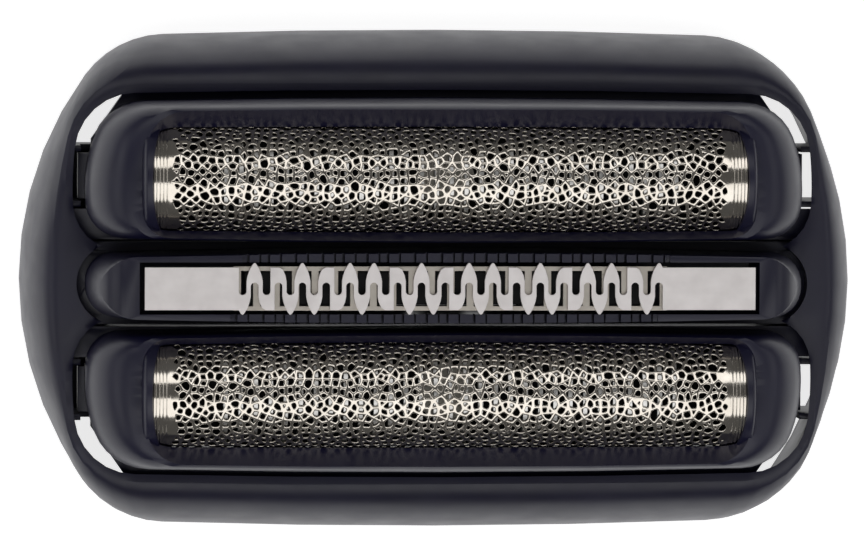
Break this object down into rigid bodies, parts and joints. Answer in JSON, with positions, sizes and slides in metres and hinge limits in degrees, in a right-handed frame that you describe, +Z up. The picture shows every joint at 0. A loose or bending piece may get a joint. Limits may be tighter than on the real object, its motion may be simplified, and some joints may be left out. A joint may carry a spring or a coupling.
{
  "type": "shaver foil head",
  "caption": "Foil head of a dry shaver: arched perforated foils over lamella cutters and a comb trimmer, each floating on springs in one oval housing.",
  "frame": {"origin": "middle of the lower rim's plane, on the table that the head rests on", "axes": "+X along the foils, towards the picture's right; +Y across them, towards the picture's top; +Z up, out of the foils"},
  "size_m": [0.058, 0.0346, 0.0178],
  "materials": {
    "housing": "satin soft-touch, dark navy",
    "foil_frame": "satin, dark navy",
    "trimmer_frame": "satin, dark navy",
    "inner_plastic": "satin black",
    "bush_plastic": "satin natural white",
    "foil_metal": "bright nickel",
    "lamella_steel": "ground steel",
    "comb_steel": "fine matt steel",
    "blade_steel": "ground steel",
    "spring_steel": "drawn wire"
  },
  "bodies": {
    "housing": {"outer_frame": "housing", "float_spring_rear_left": "spring_steel", "float_spring_rear_right": "spring_steel", "float_spring_front_left": "spring_steel", "float_spring_front_right": "spring_steel", "trimmer_spring_left": "spring_steel", "trimmer_spring_right": "spring_steel"},
    "foil_unit_rear": {"foil_frame_rear": "foil_frame", "foil_rear": "foil_metal", "foil_holder_rear": "inner_plastic"},
    "cutter_unit_rear": {"cutter_carrier_rear": "inner_plastic", "cutter_blades_rear": "lamella_steel", "cutter_spring_rear": "spring_steel"},
    "bush_rear": {"drive_bush_rear": "bush_plastic"},
    "foil_unit_front": {"foil_frame_front": "foil_frame", "foil_front": "foil_metal", "foil_holder_front": "inner_plastic"},
    "cutter_unit_front": {"cutter_carrier_front": "inner_plastic", "cutter_blades_front": "lamella_steel", "cutter_spring_front": "spring_steel"},
    "bush_front": {"drive_bush_front": "bush_plastic"},
    "trimmer_unit": {"trimmer_frame": "trimmer_frame", "trimmer_comb": "comb_steel", "trimmer_leaf_spring": "spring_steel"},
    "trimmer_cutter": {"trimmer_blade": "blade_steel", "trimmer_slider": "inner_plastic"}
  },
  "joints": [
    {"name": "float_rear", "type": "slide", "parent": "housing", "child": "foil_unit_rear", "axis": [0, 0, 1], "range_m": [-0.0018, 0], "stiffness_N_per_m": 300, "springref_m": 0.002, "deforming": ["float_spring_rear_left", "float_spring_rear_right"]},
    {"name": "cutting_stroke_rear", "type": "slide", "parent": "foil_unit_rear", "child": "cutter_unit_rear", "axis": [1, 0, 0], "range_m": [-0.0012, 0.0012]},
    {"name": "bush_press_rear", "type": "slide", "parent": "cutter_unit_rear", "child": "bush_rear", "axis": [0, 0, 1], "range_m": [0, 0.0012], "stiffness_N_per_m": 300, "springref_m": -0.002, "deforming": ["cutter_spring_rear"]},
    {"name": "float_front", "type": "slide", "parent": "housing", "child": "foil_unit_front", "axis": [0, 0, 1], "range_m": [-0.0018, 0], "stiffness_N_per_m": 300, "springref_m": 0.002, "deforming": ["float_spring_front_left", "float_spring_front_right"]},
    {"name": "cutting_stroke_front", "type": "slide", "parent": "foil_unit_front", "child": "cutter_unit_front", "axis": [1, 0, 0], "range_m": [-0.0012, 0.0012]},
    {"name": "bush_press_front", "type": "slide", "parent": "cutter_unit_front", "child": "bush_front", "axis": [0, 0, 1], "range_m": [0, 0.0012], "stiffness_N_per_m": 300, "springref_m": -0.002, "deforming": ["cutter_spring_front"]},
    {"name": "float_trimmer", "type": "slide", "parent": "housing", "child": "trimmer_unit", "axis": [0, 0, 1], "range_m": [-0.0018, 0], "stiffness_N_per_m": 300, "springref_m": 0.002, "deforming": ["trimmer_spring_left", "trimmer_spring_right"]},
    {"name": "trimmer_stroke", "type": "slide", "parent": "trimmer_unit", "child": "trimmer_cutter", "axis": [1, 0, 0], "range_m": [-0.0008, 0.0008]}
  ]
}
